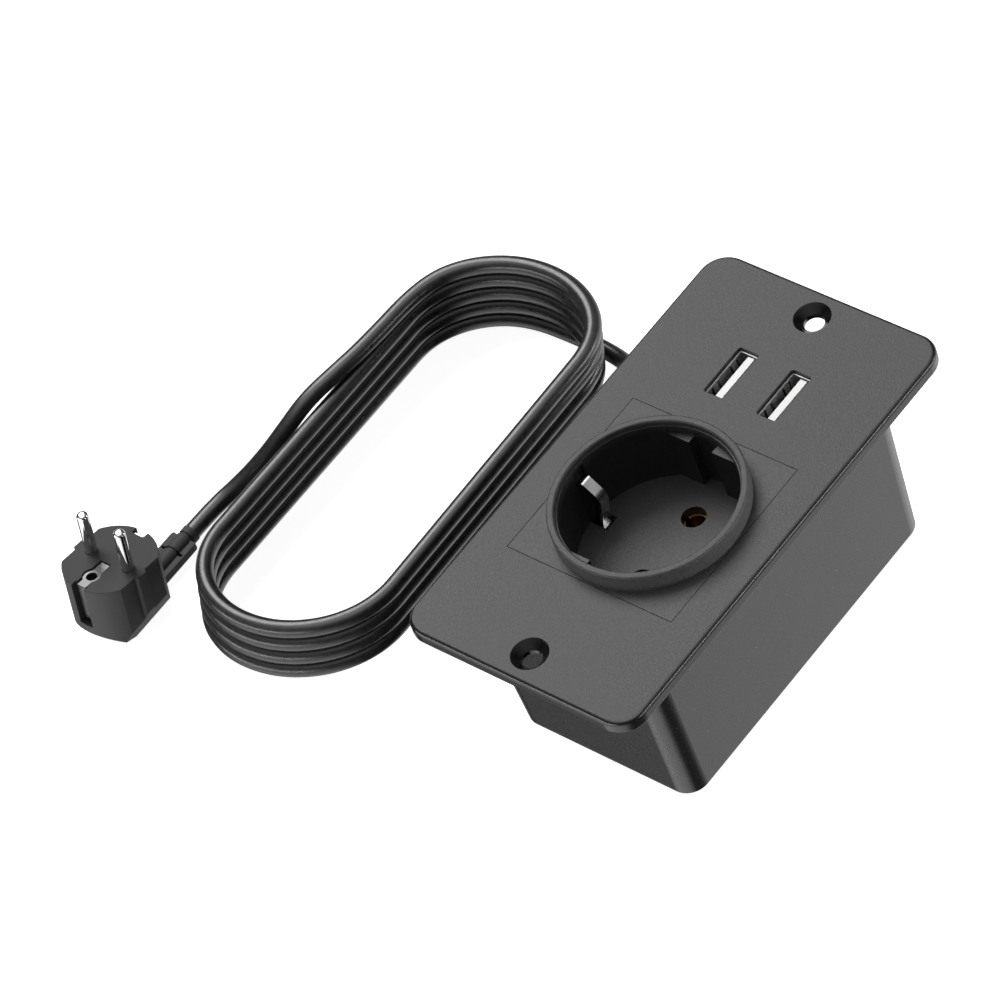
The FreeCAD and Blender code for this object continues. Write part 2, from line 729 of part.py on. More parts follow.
def charging_port(number, sign):
    """A shell with two leaf springs in its far wall, the tongue and its contacts."""
    middle = f"(port_mid_y {sign} port_pitch / 2)"
    high = f"{PLATE_TOP} - board_top - port_sunk"
    gap, wall = "port_gap", "port_wall"
    outer = box(f"port_x - port_long / 2 + {gap}", f"{middle} - port_wide / 2 + {gap}", "board_top",
                f"port_long - 2 * {gap}", f"port_wide - 2 * {gap}", high)
    inner = box(f"port_x - port_long / 2 + {gap} + {wall}", f"{middle} - port_wide / 2 + {gap} + {wall}",
                "board_top", f"port_long - 2 * {gap} - 2 * {wall}", f"port_wide - 2 * {gap} - 2 * {wall}", high)
    shell = cut(outer, [inner])
    doc.recompute()
    rounded = doc.addObject("Part::Fillet", "rounded")
    rounded.Base = shell
    corner = size("port_corner") - size("port_gap")
    reach = size("port_long") / 2 - size("port_gap") - size("port_wall") / 2
    rounded.Edges = [(i, corner, corner) for i, edge in enumerate(shell.Shape.Edges, 1)
                     if is_upright(edge) and abs(edge.CenterOfMass.x - size("port_x")) > reach]
    window_wide, window_top = "(leaf_wide + 2 * leaf_slot)", f"({PLATE_TOP} - port_sunk - leaf_rim)"
    port_y = size("port_mid_y") + (1 if sign == "+" else -1) * size("port_pitch") / 2
    wall_y = port_y + size("port_wide") / 2 - size("port_gap") - size("port_wall") / 2
    leaf_top = size("housing_high") + size("plate_thick") - size("port_sunk") - size("leaf_rim")
    bottom = leaf_top - size("leaf_high")
    windows, leaves = [], []
    for side in "-+":
        across = f"port_x {side} leaf_pitch / 2"
        windows.append(box(f"{across} - {window_wide} / 2", f"{middle} + port_wide / 2 - 2 * {wall}",
                           f"{window_top} - leaf_high", window_wide, f"3 * {wall}", "leaf_high"))
        leaf = bent_strip("leaf", [
            (wall_y, leaf_top + size("leaf_rim") / 2), (wall_y, leaf_top - size("leaf_slot")),
            (wall_y - size("leaf_lean"), bottom + size("leaf_slot"))], size("leaf_wide"), size("port_wall"))
        leaf.Placement = Placement(Vector(size("port_x") + int(side + "1") * size("leaf_pitch") / 2, 0, 0), Rotation())
        leaves.append(leaf)
    keep(f"port_shell_{number}", fuse([cut(rounded, windows)] + leaves))
    tongue_y = f"({middle} - tongue_shift)"
    keep(f"port_tongue_{number}", box(
        "port_x - tongue_long / 2", f"{tongue_y} - tongue_wide / 2", "board_top",
        "tongue_long", "tongue_wide", f"{PLATE_TOP} - board_top - tongue_sunk"))
    face = port_y - size("tongue_shift") + size("tongue_wide") / 2 + size("spring_gap") + size("spring_thick") / 2
    top = size("housing_high") + size("plate_thick") - size("spring_sunk")
    for place in range(4):
        spring = bent_strip(f"port_spring_{number}_{place + 1}", [
            (face, size("board_top")), (face, top - size("spring_rise")), (face + size("spring_lean"), top)],
            size("spring_wide"), size("spring_thick"))
        across = size("port_x") + (place - 1.5) * size("spring_pitch")
        spring.Placement = Placement(Vector(across, 0, 0), Rotation())
        keep(f"port_spring_{number}_{place + 1}", spring)


def charger_board():
    keep("charger_board", box("board_near_x", "-board_wide / 2", "board_top - board_thick",
                              "board_far_x - board_near_x", "board_wide", "board_thick"))
    for number, side in ((1, ""), (2, "-")):
        keep(f"capacitor_{number}", cylinder("port_x", f"{side}capacitor_y", "board_top",
                                             "capacitor_radius", "capacitor_high"))
    low = "board_top - board_thick - transformer_high"
    winding = box("transformer_x - transformer_long / 2", "transformer_y - transformer_wide / 2", low,
                  "transformer_long", "transformer_wide", "transformer_high")
    core = box("transformer_x - core_wide / 2", "transformer_y - transformer_wide / 2 - core_reach",
               f"{low} - core_reach", "core_wide", "transformer_wide + 2 * core_reach",
               "transformer_high + core_reach")
    keep("transformer", fuse([winding, core]))


def fixings():
    for number, (x, side) in enumerate(COLUMNS, 1):
        shank = cylinder(x, f"{side}{COLUMN_Y}", "fixing_sink_deep", "fixing_radius",
                         "column_high + fixing_bite - fixing_sink_deep")
        head = cylinder(x, f"{side}{COLUMN_Y}", "fixing_sink_deep - fixing_head_high", "fixing_head_radius",
                        "fixing_head_high")
        keep(f"housing_screw_{number}", fuse([shank, head]))


def lead_entry():
    """The clamp on the sheath inside, and the moulded relief through the wall."""
    bar = box("entry_x - clamp_wide / 2", "clamp_near_y", "entry_z + clamp_split / 2",
              "clamp_wide", "clamp_far_y - clamp_near_y", "clamp_top")
    along = Vector(0, 1, 0)
    groove = cylinder("entry_x", "clamp_near_y", "entry_z", "cord_radius + snug_gap",
                      "clamp_far_y - clamp_near_y", along)
    middle = "(clamp_near_y + clamp_far_y) / 2"
    seat = "(entry_z + clamp_split / 2 + clamp_top)"
    holes = [cylinder(f"entry_x {side} clamp_screw_pitch / 2", middle, "entry_z",
                      "clamp_screw_radius + snug_gap", "clamp_top * 2") for side in "-+"]
    keep("cord_clamp", cut(bar, [groove] + holes))
    for number, side in ((1, "-"), (2, "+")):
        x = f"entry_x {side} clamp_screw_pitch / 2"
        shank = cylinder(x, middle, "entry_z - clamp_split / 2 - clamp_screw_deep", "clamp_screw_radius",
                         "clamp_screw_deep + clamp_split + clamp_top")
        head = cylinder(x, middle, seat, "clamp_head_radius", "clamp_head_high")
        keep(f"clamp_screw_{number}", fuse([shank, head]))
    keep("lead_sheath", cylinder("entry_x", "sheath_end_y", "entry_z", "cord_radius",
                                 "relief_flange_y - relief_flange_thick - sheath_end_y", along))

    body = new_body("strain_relief")
    half = new_sketch(body, "XZ_Plane")
    start = "(relief_flange_y - relief_flange_thick)"
    wall_side = f"({HOUSING_WIDE} / 2)"
    slope = f"(relief_root - relief_end) / (relief_out_y - {wall_side})"
    outline = [("0", start), ("relief_flange", start), ("relief_flange", "relief_flange_y"),
               ("relief_root", "relief_flange_y"), ("relief_root", wall_side)]
    for ring in range(3):
        near = f"({wall_side} + relief_groove_first / 2 + {ring} * relief_groove_pitch)"
        far = f"({near} + relief_groove_wide)"
        for place, sunk in ((near, "0"), (near, "relief_groove"), (far, "relief_groove"), (far, "0")):
            outline.append((f"relief_root - {slope} * ({place} - {wall_side}) - {sunk}", place))
    outline += [("relief_end", "relief_out_y"), ("0", "relief_out_y")]
    draw_polygon(half, outline)
    turn(body, half)
    body.Placement.Rotation = Rotation(Vector(1, 0, 0), -90)
    bind(body, Placement__Base__x="entry_x", Placement__Base__z="entry_z")
    keep("strain_relief", body)


def wires():
    """Earth, neutral and live wires from the end of the sheath to their contacts.
    They fan out below one another, turn one after another and end along X."""
    gap, step = size("wire_gap"), size("wire_turn")
    bar_z = size("housing_high") + size("plate_thick") - size("cup_deep") - size("cup_floor")
    bar_z += size("bar_thick") / 2 - size("bar_deep")
    bar_end = size("bar_end_x") + gap
    places = (("wire_earth", 150, Vector(size("tab_end_x") + gap, size("strap_foot_y"), size("strap_run_z"))),
              ("wire_neutral", -90, Vector(bar_end, size("bar_side"), bar_z)),
              ("wire_live", 30, Vector(bar_end, -size("bar_side"), bar_z)))
    sheath_end = Vector(size("entry_x"), size("sheath_end_y") - gap, size("entry_z"))
    for place, (name, angle, terminal) in enumerate(places, 1):
        spread = Rotation(Vector(0, 1, 0), -angle).multVec(Vector(size("wire_spread"), 0, 0))
        start = sheath_end + spread
        turned = start - Vector(size("wire_fan"), step * place, 0)
        tube(name, [start, turned, terminal + Vector(size("wire_straight"), 0, 0), terminal], size("wire_radius"))


# Route of the lead from the strain relief down to the coil, chosen by hand
LEAD_ROUTE = [(35.0, 34.5, 12.0), (35.0, 42.5, 12.0), (37.4, 50.1, 10.1), (45.0, 59.9, 4.3), (47.2, 66.5, 2.55)]

# Route of the tail from the top of the coil over its outer side to the plug
TAIL_ROUTE = [(26.0, 109.6, 18.9), (15.0, 109.6, 18.9), (5.5, 110.9, 18.9), (-3.2, 113.2, 17.6),
              (-10.6, 115.5, 14.2), (-16.6, 119.1, 9.2), (-22.7, 122.9, 4.8), (-30.2, 125.2, 2.3),
              (-38.2, 125.2, 2.3)]


def coil():
    """The outer shape of the wound turns: an upright round-edged band bent round
    two ends, the last half turn on top of it and the run that climbs to it."""
    west, east = size("hank_west_x"), size("hank_east_x")
    middle, reach = size("hank_y"), size("hank_radius")
    radius, high, top = size("cord_radius"), size("hank_high"), size("strand_z")
    near, far = middle - reach, middle + reach
    spine = Part.Wire([
        Part.LineSegment(Vector(east, near, 0), Vector(west, near, 0)).toShape(),
        Part.Arc(Vector(west, near, 0), Vector(west - reach, middle, 0), Vector(west, far, 0)).toShape(),
        Part.LineSegment(Vector(west, far, 0), Vector(east, far, 0)).toShape(),
        Part.Arc(Vector(east, far, 0), Vector(east + reach, middle, 0), Vector(east, near, 0)).toShape()])
    low, up = radius, high - radius
    section = Part.Wire([
        Part.Arc(Vector(east, near + radius, low), Vector(east, near, 0), Vector(east, near - radius, low)).toShape(),
        Part.LineSegment(Vector(east, near - radius, low), Vector(east, near - radius, up)).toShape(),
        Part.Arc(Vector(east, near - radius, up), Vector(east, near, high), Vector(east, near + radius, up)).toShape(),
        Part.LineSegment(Vector(east, near + radius, up), Vector(east, near + radius, low)).toShape()])
    band = spine.makePipeShell([section], True, False)
    last_turn = Part.makeTorus(reach, radius, Vector(east, middle, top), Vector(0, 0, 1), 0, 360, 180)
    last_turn.rotate(Vector(east, middle, top), Vector(0, 0, 1), -90)
    climb_start = Vector(east, near, top)
    climb = Vector(west, near, up) - climb_start
    climbing = Part.makeCylinder(radius, climb.Length, climb_start, climb)
    joint = Part.makeSphere(radius, climb_start)
    end = Vector(*LEAD_ROUTE[-1])
    heading = (end - Vector(*LEAD_ROUTE[-2])).normalize()
    landing = end + heading * ((end.z - radius) / -heading.z)
    first_turn, _ = rounded_path([end, landing, Vector(east + reach - radius, middle, radius)])
    circle = Part.Wire(Part.Circle(end, heading, radius).toShape())
    item = doc.addObject("Part::Feature", "cord_hank")
    item.Shape = band.fuse([last_turn.fuse([joint, climbing]), first_turn.makePipeShell([circle], True, False)])
    keep("cord_hank", item)


def plug_body():
    """A round plug with flat, toothed sides that leans towards its cord: its back is
    cut flat to stand on, with bevels, a ribbed neck and room for its earth contacts."""
    body = new_body("plug_body")

    def face_sketch(height="plug_high"):
        return new_sketch(body, "XY_Plane", height, "plug_lean")

    whole = "plug_high + plug_radius"
    drum = face_sketch()
    draw_circle(drum, "0", "0", "plug_radius")
    pad(body, drum, whole, down=True)
    flats = face_sketch()
    edge = "plug_radius + 1"
    for side in ("", "-"):
        draw_polygon(flats, [
            (f"-{edge}", f"{side}({edge})"), (f"-{edge}", f"{side}plug_flat"),
            ("-plug_tooth_wide / 2 - (plug_tooth - plug_flat) / 2", f"{side}plug_flat"),
            ("-plug_tooth_wide / 2", f"{side}plug_tooth"), ("plug_tooth_wide / 2", f"{side}plug_tooth"),
            ("plug_tooth_wide / 2 + (plug_tooth - plug_flat) / 2", f"{side}plug_flat"),
            (f"{edge}", f"{side}plug_flat"), (f"{edge}", f"{side}({edge})")])
    pocket(body, flats, whole)
    back = new_sketch(body, "XY_Plane")
    draw_rectangle(back, "0", "0", "4 * plug_radius", "4 * plug_radius")
    pocket(body, back, whole)
    bevels = new_sketch(body, "YZ_Plane")
    for side in ("", "-"):
        draw_polygon(bevels, [
            (f"{side}plug_bevel_y", "0"), (f"{side}(plug_tooth + snug_gap)", "plug_bevel_z"),
            (f"{side}({edge})", "plug_bevel_z"), (f"{side}({edge})", "0")])
    pocket(body, bevels, "4 * plug_radius", both_ways=True)
    nose = new_sketch(body, "XZ_Plane")
    draw_polygon(nose, [("-plug_nose_x", "0"), ("-plug_nose_reach - plug_nose_x", "0"),
                        ("-plug_nose_reach - plug_nose_x", "plug_nose_z"), ("-plug_nose_reach", "plug_nose_z")])
    pocket(body, nose, "4 * plug_radius", both_ways=True)

    neck = new_sketch(body, "YZ_Plane")
    draw_circle(neck, "0", "neck_z", "neck_radius")
    pad(body, neck, "neck_end")
    wing = new_sketch(body, "XY_Plane", "neck_z - wing_thick / 2")
    draw_rectangle(wing, "wing_end / 2", "0", "wing_end", "2 * wing_half")
    pad(body, wing, "wing_thick")

    def is_wing_corner(edge):
        return is_upright(edge) and abs(edge.CenterOfMass.x - size("wing_end")) < 0.1

    dress(body, "PartDesign::Fillet", is_wing_corner, Radius="wing_half - neck_radius")
    for place in ("ring_first", "ring_second"):
        ring = new_sketch(body, "YZ_Plane", place)
        draw_circle(ring, "0", "neck_z", "neck_radius + 1")
        draw_circle(ring, "0", "neck_z", "neck_radius - ring_deep")
        pocket(body, ring, "ring_wide")

    groove = face_sketch()
    draw_rectangle(groove, "-plug_radius + groove_deep / 2 - 0.5", "0", "groove_deep + 1", "groove_wide")
    pocket(body, groove, "groove_high")
    notch = face_sketch()
    draw_rectangle(notch, "plug_radius - notch_deep / 2 + 0.5", "0", "notch_deep + 1", "notch_wide")
    pocket(body, notch, "groove_high")
    slot = face_sketch()
    draw_rectangle(slot, "-(earth_start + earth_end) / 2", "0", "earth_start - earth_end + 2 * earth_gap",
                   "earth_wide + 2 * earth_gap")
    pocket(body, slot, "earth_sunk + earth_thick")
    eyelet = face_sketch()
    draw_circle(eyelet, "-earth_hole_x", "0", "earth_eyelet + earth_gap")
    pocket(body, eyelet, "earth_sunk + earth_thick")
    hole = face_sketch()
    draw_circle(hole, "-earth_hole_x", "0", "earth_hole")
    pocket(body, hole, "earth_hole_deep")
    roots = face_sketch()
    for side in ("", "-"):
        draw_circle(roots, "0", f"{side}plug_pin_half", "plug_pin_radius + snug_gap")
    pocket(body, roots, "plug_pin_root")
    bind(body, Placement__Base__x="plug_x", Placement__Base__y="plug_y")
    keep("plug_body", body)


def plug_metal():
    """The pins and the earth contacts, made about the middle of the plug's face."""
    def seat(name, item):
        item.Placement.Rotation = Rotation(Vector(0, 1, 0), size("plug_lean"))
        bind(item, Placement__Base__x="plug_x", Placement__Base__y="plug_y", Placement__Base__z="plug_high")
        keep(name, item)

    tip = size("plug_pin_long")
    for number, side in ((1, ""), (2, "-")):
        body = new_body(f"plug_pin_{number}")
        rod = new_sketch(body, "XY_Plane", "-plug_pin_root")
        draw_circle(rod, "0", f"{side}plug_pin_half", "plug_pin_radius")
        pad(body, rod, "plug_pin_root + plug_pin_long")
        dress(body, "PartDesign::Fillet", lambda edge: lies_at(edge, tip), Radius="plug_pin_radius * 0.75")
        seat(f"plug_pin_{number}", body)
    low = "-(earth_sunk + earth_thick)"
    inner = "-(plug_radius - groove_deep)"
    plate = box(f"{inner} - earth_thick", "-earth_leg_wide / 2", low,
                "plug_radius - groove_deep - earth_end + earth_thick", "earth_leg_wide", "earth_thick")
    leg = box(f"{inner} - earth_thick", "-earth_leg_wide / 2", f"{low} - earth_leg",
              "earth_thick", "earth_leg_wide", "earth_leg + earth_thick")
    eyelet = cylinder("-earth_hole_x", "0", low, "earth_eyelet", "earth_thick")
    hole = cylinder("-earth_hole_x", "0", f"{low} - earth_thick", "earth_hole", "earth_thick * 3")
    seat("plug_earth_front", cut(fuse([plate, leg, eyelet]), [hole]))
    rear = new_body("plug_earth_rear")
    strip = new_sketch(rear, "XY_Plane", "-earth_sunk")
    draw_rectangle(strip, "plug_radius - notch_deep + earth_thick / 2", "0", "earth_thick", "earth_leg_wide")
    pad(rear, strip, "earth_leg + earth_thick", down=True)
    seat("plug_earth_rear", rear)


def write_parts():
    """Checks every object and each sub-part, then writes one file for each sub-part."""
    doc.recompute()
    for item in doc.Objects:
        if "Invalid" in item.State or "Error" in item.State:
            raise RuntimeError(f"{item.Name} {item.Label} did not recompute: {item.State}")
    for name, item in parts.items():
        if item.Shape.isNull() or not item.Shape.isValid():
            raise RuntimeError(f"{name} has no valid shape")
    os.makedirs("parts", exist_ok=True)
    for name, item in parts.items():
        item.Shape.exportStep(f"parts/{name}.step")
    print(f"{len(parts)} sub-parts written")


face_plate()
rear_housing()
socket_insert()
socket_base()
pin_contact("contact_neutral", "+", "")
pin_contact("contact_live", "-", "-")
earth_strap()
charging_port(1, "+")
charging_port(2, "-")
charger_board()
fixings()
lead_entry()
wires()
tube("cord_lead", LEAD_ROUTE, size("cord_radius"))
coil()
tube("cord_tail", TAIL_ROUTE, size("cord_radius"))
plug_body()
plug_metal()
write_parts()
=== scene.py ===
import math

import bpy
from mathutils import Matrix, Vector


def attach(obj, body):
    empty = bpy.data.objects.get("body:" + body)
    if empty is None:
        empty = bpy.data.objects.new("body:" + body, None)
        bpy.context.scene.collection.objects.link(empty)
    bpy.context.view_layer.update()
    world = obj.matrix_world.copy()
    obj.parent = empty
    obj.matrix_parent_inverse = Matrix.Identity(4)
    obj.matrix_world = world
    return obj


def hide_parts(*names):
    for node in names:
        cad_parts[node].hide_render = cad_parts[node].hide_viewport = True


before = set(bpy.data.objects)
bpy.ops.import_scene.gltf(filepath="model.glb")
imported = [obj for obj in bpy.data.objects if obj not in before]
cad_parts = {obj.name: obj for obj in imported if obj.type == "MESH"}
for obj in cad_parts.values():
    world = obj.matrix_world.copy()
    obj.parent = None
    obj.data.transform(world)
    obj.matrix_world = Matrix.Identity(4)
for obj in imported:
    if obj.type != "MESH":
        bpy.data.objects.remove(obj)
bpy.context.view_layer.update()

MM = 0.001


# Shader helpers

NOISE_LOW, NOISE_HIGH = 0.3, 0.7  # the middle range, where most of a noise lies


def linear(colour):
    """The linear red, green, blue and alpha of an sRGB colour written as hex text."""
    channels = [int(colour[i:i + 2], 16) / 255 for i in (0, 2, 4)]
    return [c / 12.92 if c <= 0.04045 else ((c + 0.055) / 1.055) ** 2.4 for c in channels] + [1.0]


def add_node(tree, kind, links=(), stops=(), **settings):
    """Adds a shader node. Settings are its properties or the values of its inputs, with an
    underscore for a space; links are (input, output socket) pairs; and stops are the
    (position, colour) pairs of a ramp, in order."""
    node = tree.nodes.new(kind)
    for name, value in settings.items():
        if hasattr(node, name):
            setattr(node, name, value)
        else:
            node.inputs[name.replace("_", " ")].default_value = value
    for name, socket in links:
        tree.links.new(socket, node.inputs[name])
    if stops:
        elements = node.color_ramp.elements
        for position, _ in stops[2:]:
            elements.new(position)
        for element, (position, colour) in zip(elements, stops):
            element.position = position
            element.color = colour
    return node


def new_material(name):
    """An empty material and its tree."""
    material = bpy.data.materials.new(name)
    material.use_nodes = True
    material.node_tree.nodes.clear()
    return material, material.node_tree


def set_surface(tree, colour, rough, height, depth, edge, **settings):
    """Ends a material with its shader, a relief of a depth in metres and, where edge
    gives a radius, sharp edges that catch the light as if they were rounded."""
    links = [("Height", height)]
    if edge:
        rounded = add_node(tree, "ShaderNodeBevel", samples=6, Radius=edge)
        links.append(("Normal", rounded.outputs["Normal"]))
    relief = add_node(tree, "ShaderNodeBump", links, Distance=depth)
    shader = add_node(tree, "ShaderNodeBsdfPrincipled", [
        ("Base Color", colour), ("Roughness", rough), ("Normal", relief.outputs["Normal"])], **settings)
    add_node(tree, "ShaderNodeOutputMaterial", [("Surface", shader.outputs["BSDF"])])


def moulded_plastic(name, dark, light, grain, depth, rough, spread=0.06, edge=0.2 * MM, sides=None,
                    **settings):
    """Moulded plastic whose grain, of a size and a depth in metres, varies its tone and its
    roughness. Where sides gives two tones and a roughness, faces that don't look up get
    those tones as painted shade, darker than the top's, and that roughness and no relief,
    because the tool is smooth there."""
    material, tree = new_material(name)
    coordinates = add_node(tree, "ShaderNodeTexCoord").outputs["Object"]
    fine = add_node(tree, "ShaderNodeTexNoise", [("Vector", coordinates)],
                    Scale=1 / grain, Detail=3.0, Roughness=0.6).outputs["Fac"]
    colour = add_node(tree, "ShaderNodeValToRGB", [("Fac", fine)], stops=[
        (NOISE_LOW, linear(dark)), (NOISE_HIGH, linear(light))]).outputs["Color"]
    dull = add_node(tree, "ShaderNodeMapRange", [("Value", fine)], From_Min=NOISE_LOW,
                    From_Max=NOISE_HIGH, To_Min=rough - spread, To_Max=rough + spread).outputs["Result"]
    height = fine
    if sides:
        side_shade_dark, side_shade_light, side_rough = sides
        normal = add_node(tree, "ShaderNodeNewGeometry").outputs["Normal"]
        upward = add_node(tree, "ShaderNodeSeparateXYZ", [("Vector", normal)]).outputs["Z"]
        level = add_node(tree, "ShaderNodeMapRange", [("Value", upward)],
                         From_Min=0.95, From_Max=0.98).outputs["Result"]
        # painted shade: faces that don't look up take these darker tones, so that edges and holes look
        # black
        painted_side_shade = add_node(tree, "ShaderNodeValToRGB", [("Fac", fine)], stops=[
            (NOISE_LOW, linear(side_shade_dark)), (NOISE_HIGH, linear(side_shade_light))]).outputs["Color"]
        # a colour mix has its factor at input 0, its colours at 6 and 7 and its result at output 2
        colour = add_node(tree, "ShaderNodeMix", [(0, level), (6, painted_side_shade), (7, colour)],
                          data_type="RGBA").outputs[2]
        dull = add_node(tree, "ShaderNodeMapRange", [("Value", level), ("To Max", dull)],
                        To_Min=side_rough).outputs["Result"]
        height = add_node(tree, "ShaderNodeMath", [(0, fine), (1, level)],
                          operation="MULTIPLY").outputs["Value"]
    set_surface(tree, colour, dull, height, depth, edge, **settings)
    return material


def metal(name, worn, clean, rough, along=(1, 1, 1), streak=0.4 * MM, depth=0.004 * MM):
    """Metal with streaks of a width in metres, long in the direction whose stretch is
    smallest, and with tones that change over a few millimetres."""
    material, tree = new_material(name)
    coordinates = add_node(tree, "ShaderNodeTexCoord").outputs["Object"]
    stretched = add_node(tree, "ShaderNodeMapping", [("Vector", coordinates)], Scale=along)
    lines = add_node(tree, "ShaderNodeTexNoise", [("Vector", stretched.outputs["Vector"])],
                     Scale=1 / streak, Detail=3.0, Roughness=0.5).outputs["Fac"]
    blotches = add_node(tree, "ShaderNodeTexNoise", [("Vector", coordinates)],
                        Scale=1 / (4 * MM), Detail=2.0, Roughness=0.5).outputs["Fac"]
    colour = add_node(tree, "ShaderNodeValToRGB", [("Fac", blotches)], stops=[
        (NOISE_LOW, linear(worn)), (NOISE_HIGH, linear(clean))]).outputs["Color"]
    dull = add_node(tree, "ShaderNodeMapRange", [("Value", lines)], From_Min=NOISE_LOW,
                    From_Max=NOISE_HIGH, To_Min=rough * 0.8, To_Max=rough * 1.25).outputs["Result"]
    set_surface(tree, colour, dull, lines, depth, edge=0.08 * MM, Metallic=1.0)
    return material


# Materials

# An eroded or blasted tool leaves a grain of about 0.1 mm, and the streaks of a rolled strip
# are finer still. Both are too fine to show here, so they are drawn several times as coarse.
# The smooth plastics have only a faint unevenness, about a millimetre across.
MATERIALS = {
    # ABS moulded in an eroded tool: the grain scatters light, so the top is an even dark
    # grey; edges and holes get darker tones as painted shade, so they stay black with thin highlights
    "plate": moulded_plastic("eroded black ABS of the plate", "212122", "353536", grain=0.45 * MM,
                             depth=0.09 * MM, rough=0.58, sides=("0e0e0f", "121213", 0.24)),
    # polycarbonate with the same grain: as grey as the plate on its collar and its floor
    "insert": moulded_plastic("eroded black polycarbonate of the socket", "212122", "323233",
                              grain=0.5 * MM, depth=0.06 * MM, rough=0.58, edge=0.12 * MM),
    # ABS from a blasted tool: deep black under a satin shine, which turns the corners
    # into a soft highlight beside a black band
    "housing": moulded_plastic("satin black ABS of the housing", "101011", "141415",
                               grain=0.3 * MM, depth=0.012 * MM, rough=0.26),
    # polyamide from a polished tool: black with small clear highlights
    "gloss": moulded_plastic("smooth black polyamide", "1c1c1d", "212122",
                             grain=1.0 * MM, depth=0.004 * MM, rough=0.3),
    # soft PVC moulded round the cord's ends: dull and grey, with half the usual shine
    "plug": moulded_plastic("soft moulded black PVC", "333334", "3a3a3b", grain=0.4 * MM,
                            depth=0.01 * MM, rough=0.62, edge=0.25 * MM, Specular_IOR_Level=0.25),
    # extruded PVC: a smooth black skin, and a soft bright line along each turn
    "cord": moulded_plastic("extruded black PVC sheath", "1d1d1e", "232324", grain=1.2 * MM,
                            depth=0.01 * MM, rough=0.31, spread=0.05, edge=0.0),
    # polyester filled white: clean and bright under a faint shine
    "tongue": moulded_plastic("white moulded polyester", "e6e6e4", "f2f2f0", grain=0.6 * MM,
                              depth=0.004 * MM, rough=0.35, spread=0.03, edge=0.1 * MM),
    # solder lacquer over woven glass: deep green and slightly glossy
    "board": moulded_plastic("green solder lacquer", "1c5a33", "236b3d",
                             grain=0.8 * MM, depth=0.01 * MM, rough=0.35),
    # polyester tape round a winding: dull yellow with faint creases
    "winding": moulded_plastic("yellow polyester tape", "c9a83a", "d8b84a",
                               grain=0.8 * MM, depth=0.02 * MM, rough=0.5),
    # extruded PVC round each core: one clear colour under a satin shine
    "blue": moulded_plastic("blue PVC insulation", "1f3f9c", "2748ad",
                            grain=0.8 * MM, depth=0.008 * MM, rough=0.4),
    "brown": moulded_plastic("brown PVC insulation", "54321f", "613c27",
                             grain=0.8 * MM, depth=0.008 * MM, rough=0.4),
    "green": moulded_plastic("green PVC insulation", "4a7f22", "5a9130",
                             grain=0.8 * MM, depth=0.008 * MM, rough=0.4),
    # spring steel, rolled and nickel-plated: bright, with fine streaks along the strip
    "steel": metal("rolled nickel-plated steel", "bdbdbd", "dcdcdc", rough=0.22, along=(1, 1, 0.15)),
    # tin-plated sheet, drawn into a shell: grey with broad soft reflections
    "shell": metal("tin-plated steel sheet", "a0a0a3", "b4b4b6", rough=0.5, along=(1, 1, 0.2)),
    # steel, stamped and plated without a polish: mid grey, so that the contact in the plug's
    # face stays darker than its pins
    "earth": metal("stamped plated steel of the plug", "585858", "666666", rough=0.34, along=(1, 0.2, 1)),
    # brass, polished and nickel-plated: mirror bright, with white and black streaks down each pin
    "pins": metal("polished nickel plating", "dedede", "f2f2f2", rough=0.08, along=(1, 1, 0.1),
                  depth=0.001 * MM),
    # rolled brass: a dull warm glint deep in the pin holes
    "brass": metal("rolled brass", "7d6840", "9a8050", rough=0.4, along=(0.2, 1, 1)),
    # zinc-plated steel: pale grey with soft highlights on the screws
    "zinc": metal("zinc-plated steel", "aaaaa6", "c9c9c4", rough=0.3),
    # extruded aluminium: a cool mid grey with a blurred shine
    "can": metal("extruded aluminium", "777a80", "8d9096", rough=0.35),
}

FINISHES = {
    "face_plate": "plate", "socket_insert": "insert", "rear_housing": "housing", "socket_base": "gloss",
    "contact_live": "brass", "contact_neutral": "brass", "earth_strap": "steel", "charger_board": "board",
    "transformer": "winding", "cord_clamp": "gloss", "strain_relief": "plug", "lead_sheath": "cord",
    "wire_neutral": "blue", "wire_live": "brown", "wire_earth": "green", "plug_body": "plug",
    "plug_earth_front": "earth", "plug_earth_rear": "steel",
}
FAMILIES = {
    "port_shell": "shell", "port_tongue": "tongue", "port_spring": "steel", "capacitor": "can",
    "housing_screw": "zinc", "clamp_screw": "zinc", "plug_pin": "pins", "cord": "cord",
}


def dress_nodes():
    """Gives every solid of the frame its material, by its name or by how its name starts."""
    for name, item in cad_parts.items():
        family = next((finish for start, finish in FAMILIES.items() if name.startswith(start)), None)
        item.data.materials.clear()
        item.data.materials.append(MATERIALS[FINISHES.get(name, family)])


# Lead

# Route points of its free stretches, in millimetres, as in the model's source with three
# differences: the lead has a last point more, which joins it to the coil; the tail begins
# one point later, where the coil ends; and the tail's fourth to sixth points lie up to 1 mm
# nearer to the coil, as in the photograph.
LEAD_ROUTE = [(35.0, 34.5, 12.0), (35.0, 42.5, 12.0), (37.4, 50.1, 10.1), (45.0, 59.9, 4.3),
              (47.2, 66.5, 2.55), (48.1, 77.0, 2.06)]
TAIL_ROUTE = [(15.0, 109.6, 18.9), (5.5, 110.9, 18.9), (-3.2, 113.2, 17.6), (-10.6, 114.9, 14.2),
              (-16.6, 118.1, 9.2), (-22.7, 121.9, 4.8), (-30.2, 125.2, 2.3), (-38.2, 125.2, 2.3)]

CORD_DIAMETER = 4.12
TURNS = 4                        # full turns of the coil
STACKED = 4.188                  # how far each turn lies above the last
SHIFT = Vector((0.697, -0.486))  # how far each turn lies beside the last
SHIFT_FROM = 3                   # the turn whose ends are given below
